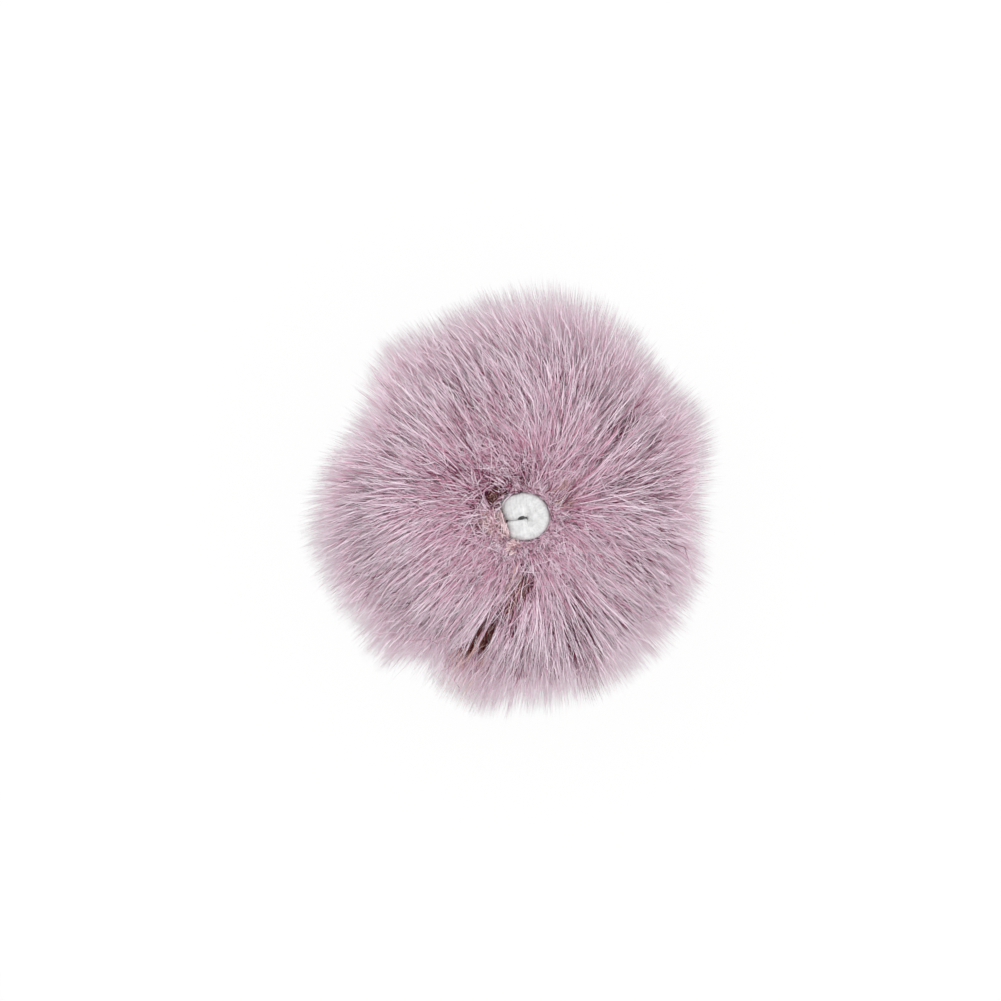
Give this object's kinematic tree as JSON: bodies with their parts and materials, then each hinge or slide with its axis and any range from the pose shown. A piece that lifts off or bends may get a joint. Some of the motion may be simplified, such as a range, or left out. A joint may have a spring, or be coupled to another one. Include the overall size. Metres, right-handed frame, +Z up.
{
  "type": "faux fur pompom",
  "caption": "Long-pile faux fur pompom, gathered into a ball, with a short round elastic loop sewn into the gather.",
  "frame": {"origin": "on the ground under the middle of the ball, which lies on its crown", "axes": "+Z up, out of the gather and through the loop; +X the way the loop's ring points, give or take 9 degrees"},
  "size_m": [0.0695, 0.0708, 0.0468],
  "materials": {
    "fur": "dusty mauve long-pile faux fur, plum at the roots and pale at the tips, on a salmon-pink knitted ground",
    "elastic": "soft white round elastic with a brushed knitted cover"
  },
  "bodies": {
    "root": {"fur_ball": "fur", "elastic_loop": "elastic"}
  },
  "joints": []
}
